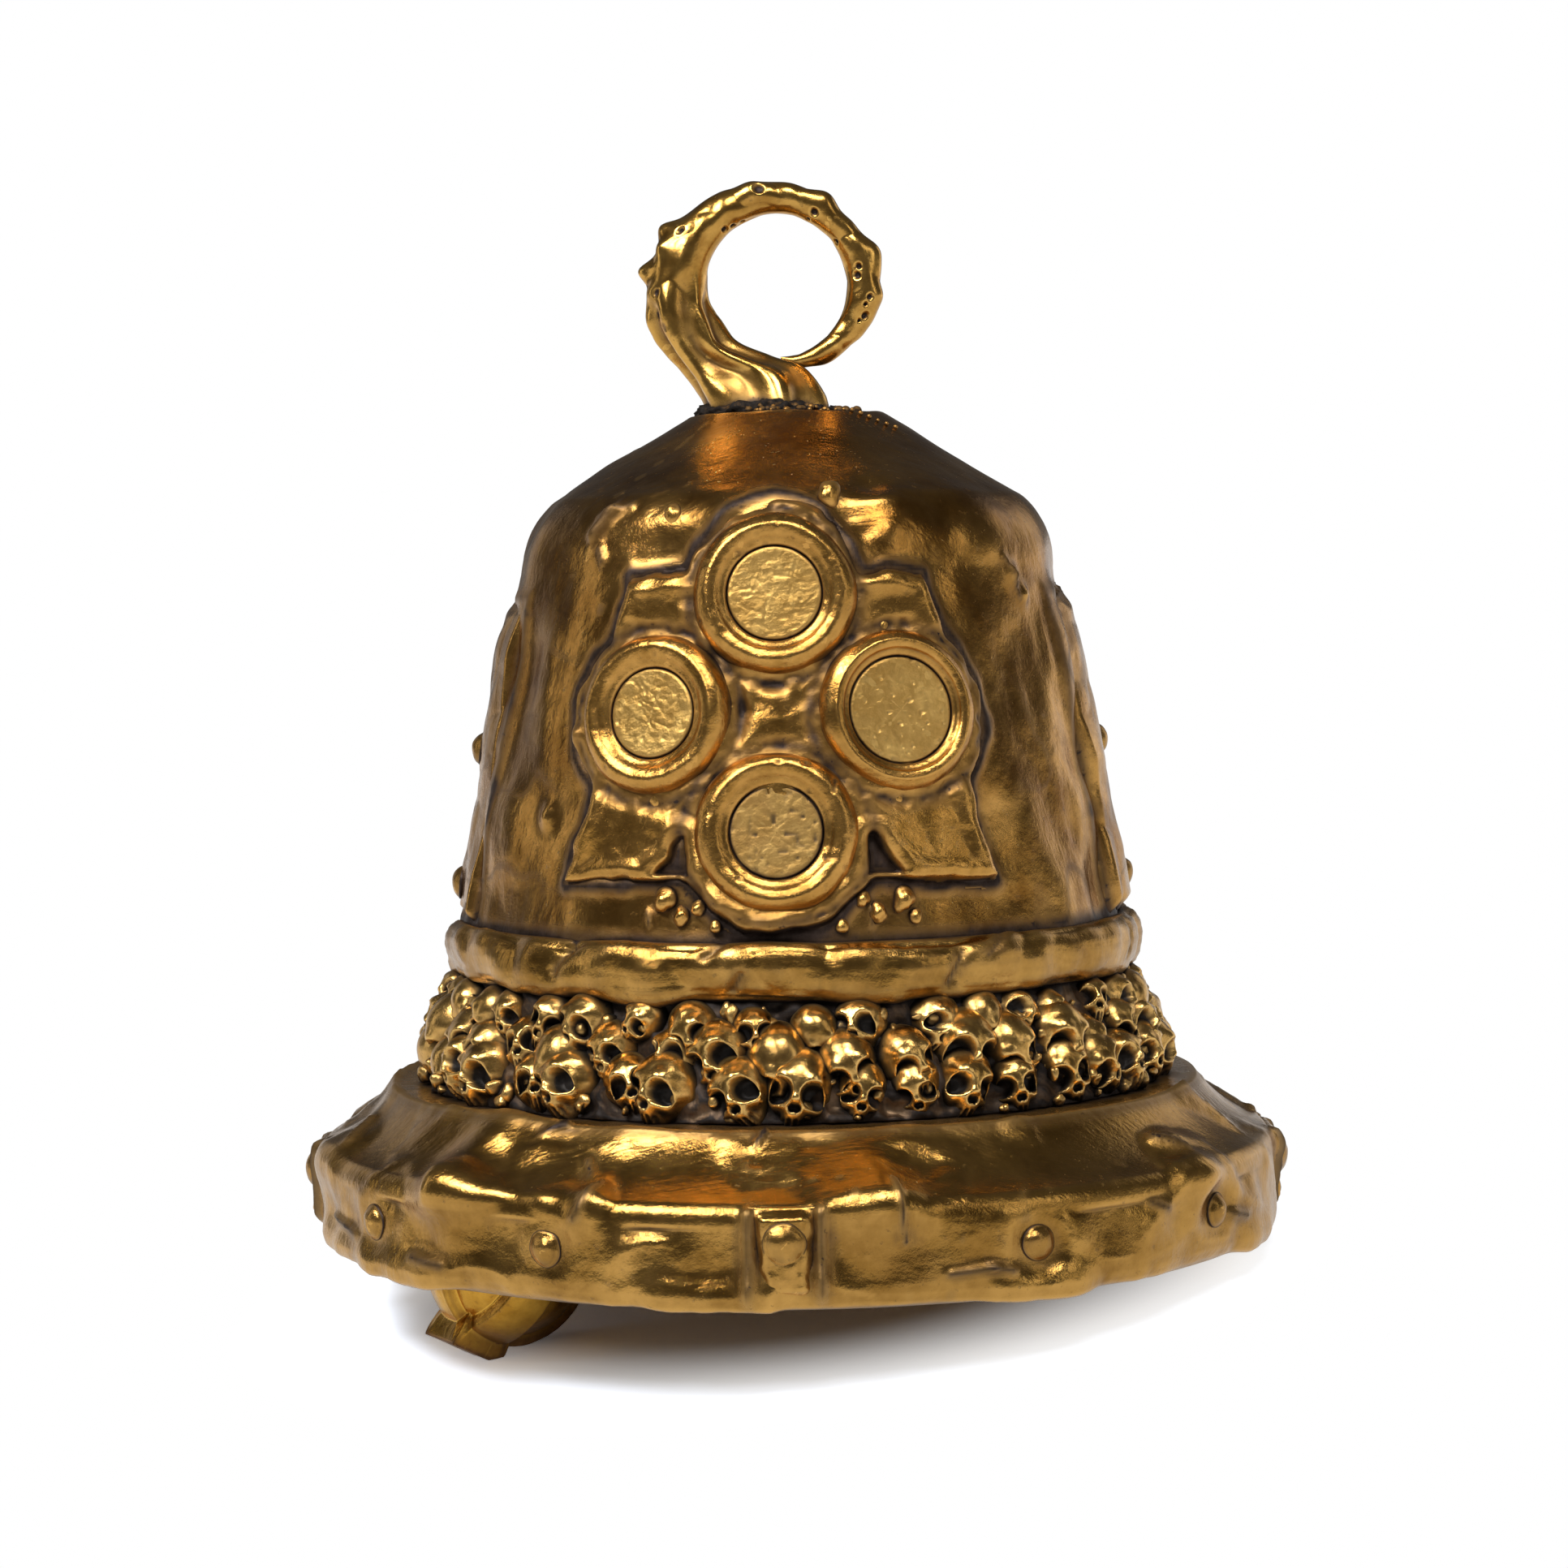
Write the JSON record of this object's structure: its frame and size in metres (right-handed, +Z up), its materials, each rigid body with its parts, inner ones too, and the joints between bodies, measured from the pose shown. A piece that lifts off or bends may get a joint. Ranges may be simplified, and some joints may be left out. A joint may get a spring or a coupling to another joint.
{
  "type": "sanctus bell",
  "caption": "Small cast brass altar bell with a hooked crown loop, ring bosses, skull frieze, riveted mouth hoop and a free-swinging clapper.",
  "frame": {"origin": "on the table, under the middle of the object's box", "axes": "+Z is up, square to the table that the bell leans on with its clapper's foot and the far edge of its mouth; the decorated front faces -Y"},
  "size_m": [0.1002, 0.1004, 0.1116],
  "materials": {
    "cast_brass": "aged cast brass, satin, polished on the high spots and brown in the hollows",
    "dark_brass": "dark patina, rough",
    "disc_brass": "hammered and scratched, satin",
    "skull_brass": "cast, polished crowns and dark sockets",
    "bright_brass": "bright polished",
    "braze": "dark oxidised braze",
    "hanger_brass": "machined, dull with age"
  },
  "bodies": {
    "bell": {"bell_shell": "cast_brass", "waist_band": "cast_brass", "frieze_strip": "dark_brass", "skulls_upper": "skull_brass", "skulls_lower": "skull_brass", "rim_hoop": "cast_brass", "rim_strap_front": "cast_brass", "rim_strap_right": "cast_brass", "rim_strap_back": "cast_brass", "rim_strap_left": "cast_brass", "rim_rivets": "cast_brass", "strap_rivets": "cast_brass", "side_plate_left": "cast_brass", "side_plate_right": "cast_brass", "side_rivets": "cast_brass", "front_plate": "cast_brass", "ring_boss_left": "cast_brass", "ring_boss_right": "cast_brass", "ring_boss_top": "cast_brass", "ring_boss_bottom": "cast_brass", "disc_left": "disc_brass", "disc_right": "disc_brass", "disc_top": "disc_brass", "disc_bottom": "disc_brass", "crown_loop": "cast_brass", "braze_bead": "braze", "hanger_washer": "hanger_brass", "hanger_nut": "hanger_brass", "hanger_screw": "hanger_brass"},
    "swivel": {"swivel_clevis": "hanger_brass", "swivel_pin": "hanger_brass"},
    "clapper": {"clapper_rod": "hanger_brass", "clapper_head": "bright_brass", "clapper_pin": "hanger_brass"}
  },
  "joints": [
    {"name": "swivel_turn", "type": "hinge", "parent": "bell", "child": "swivel", "pos_m": [0.00656, 0.00404, 0.0778], "axis": [0.0988, 0.0608, 0.9933], "continuous": true},
    {"name": "clapper_swing", "type": "hinge", "parent": "swivel", "child": "clapper", "pos_m": [0.00549, 0.00338, 0.06702], "axis": [0.524, -0.8517, 0], "range_deg": [0, 55.81]}
  ]
}
